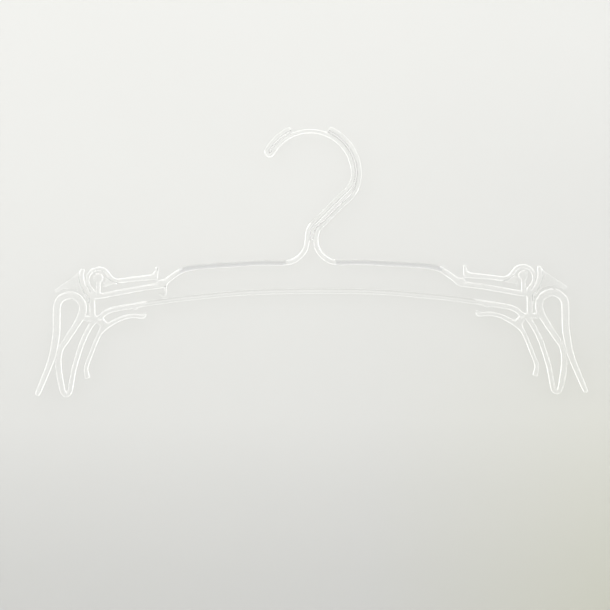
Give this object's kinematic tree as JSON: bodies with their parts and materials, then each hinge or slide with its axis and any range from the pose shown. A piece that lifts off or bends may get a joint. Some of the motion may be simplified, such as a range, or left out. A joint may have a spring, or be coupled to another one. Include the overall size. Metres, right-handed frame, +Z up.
{
  "type": "clothes hanger",
  "caption": "Clear moulded plastic hanger for straps and small garments: rail hook, two bars, and at each end a sprung strap clip, a strap hook and a pinch clip.",
  "frame": {"origin": "centre of the hook's inner circle, on mid-thickness", "axes": "+X across the hanger, away from the hook's opening; +Y through the thickness, towards the back; +Z up, as it hangs"},
  "size_m": [0.3064, 0.004, 0.1491],
  "materials": {
    "clear_plastic": "gloss",
    "clear_plastic_thin": "gloss"
  },
  "bodies": {
    "frame": {"hook_inner_rim": "clear_plastic", "hook_outer_rim": "clear_plastic", "hook_tip_rim": "clear_plastic", "hook_tip_web": "clear_plastic_thin", "hook_web": "clear_plastic_thin", "left_bar_bump": "clear_plastic", "left_end_junction": "clear_plastic", "left_fixed_jaw_loop": "clear_plastic", "left_flexure_root": "clear_plastic", "left_gusset_web": "clear_plastic_thin", "left_jaw_strut": "clear_plastic", "left_loop_post": "clear_plastic", "left_shoulder_block": "clear_plastic", "left_size_tab": "clear_plastic_thin", "left_spine_guard": "clear_plastic", "left_strap_arm": "clear_plastic", "left_vertical_strut": "clear_plastic", "lower_bar": "clear_plastic", "neck_left_rail": "clear_plastic", "neck_right_rail": "clear_plastic", "right_bar_bump": "clear_plastic", "right_end_junction": "clear_plastic", "right_fixed_jaw_loop": "clear_plastic", "right_flexure_root": "clear_plastic", "right_gusset_web": "clear_plastic_thin", "right_jaw_strut": "clear_plastic", "right_loop_post": "clear_plastic", "right_shoulder_block": "clear_plastic", "right_spine_guard": "clear_plastic", "right_strap_arm": "clear_plastic", "right_vertical_strut": "clear_plastic", "top_bar_left": "clear_plastic", "top_bar_right": "clear_plastic"},
    "left_strap_clip_lever": {"left_strap_spring_loop": "clear_plastic", "left_strap_lever": "clear_plastic", "left_lever_heel": "clear_plastic_thin"},
    "left_pinch_clip_finger": {"left_finger_spring_ring": "clear_plastic", "left_pinch_finger": "clear_plastic"},
    "left_lower_strap_hook": {"left_strap_hook": "clear_plastic"},
    "left_hanging_finger": {"left_inner_finger": "clear_plastic"},
    "right_strap_clip_lever": {"right_strap_spring_loop": "clear_plastic", "right_strap_lever": "clear_plastic", "right_lever_heel": "clear_plastic_thin"},
    "right_pinch_clip_finger": {"right_finger_spring_ring": "clear_plastic", "right_pinch_finger": "clear_plastic"},
    "right_lower_strap_hook": {"right_strap_hook": "clear_plastic"},
    "right_hanging_finger": {"right_inner_finger": "clear_plastic"}
  },
  "joints": [
    {"name": "left_strap_clip_lift", "type": "hinge", "parent": "frame", "child": "left_strap_clip_lever", "pos_m": [-0.11794, 0, -0.05689], "axis": [0, -1, 0], "range_deg": [0, 7], "stiffness_Nm_per_rad": 0.02},
    {"name": "left_pinch_clip_open", "type": "hinge", "parent": "frame", "child": "left_pinch_clip_finger", "pos_m": [-0.13387, 0, -0.07382], "axis": [0, 1, 0], "range_deg": [0, 6], "stiffness_Nm_per_rad": 0.05},
    {"name": "left_strap_hook_flex", "type": "hinge", "parent": "frame", "child": "left_lower_strap_hook", "pos_m": [-0.11239, 0, -0.08315], "axis": [0, 1, 0], "range_deg": [-1, 3], "stiffness_Nm_per_rad": 0.004},
    {"name": "left_inner_finger_flex", "type": "hinge", "parent": "frame", "child": "left_hanging_finger", "pos_m": [-0.11738, 0, -0.0878], "axis": [0, -1, 0], "range_deg": [-3, 3], "stiffness_Nm_per_rad": 0.004},
    {"name": "right_strap_clip_lift", "type": "hinge", "parent": "frame", "child": "right_strap_clip_lever", "pos_m": [0.11794, 0, -0.05689], "axis": [0, 1, 0], "range_deg": [0, 7], "stiffness_Nm_per_rad": 0.02},
    {"name": "right_pinch_clip_open", "type": "hinge", "parent": "frame", "child": "right_pinch_clip_finger", "pos_m": [0.13387, 0, -0.07382], "axis": [0, -1, 0], "range_deg": [0, 6], "stiffness_Nm_per_rad": 0.05},
    {"name": "right_strap_hook_flex", "type": "hinge", "parent": "frame", "child": "right_lower_strap_hook", "pos_m": [0.11239, 0, -0.08315], "axis": [0, -1, 0], "range_deg": [-1, 3], "stiffness_Nm_per_rad": 0.004},
    {"name": "right_inner_finger_flex", "type": "hinge", "parent": "frame", "child": "right_hanging_finger", "pos_m": [0.11738, 0, -0.0878], "axis": [0, 1, 0], "range_deg": [-3, 3], "stiffness_Nm_per_rad": 0.004}
  ]
}
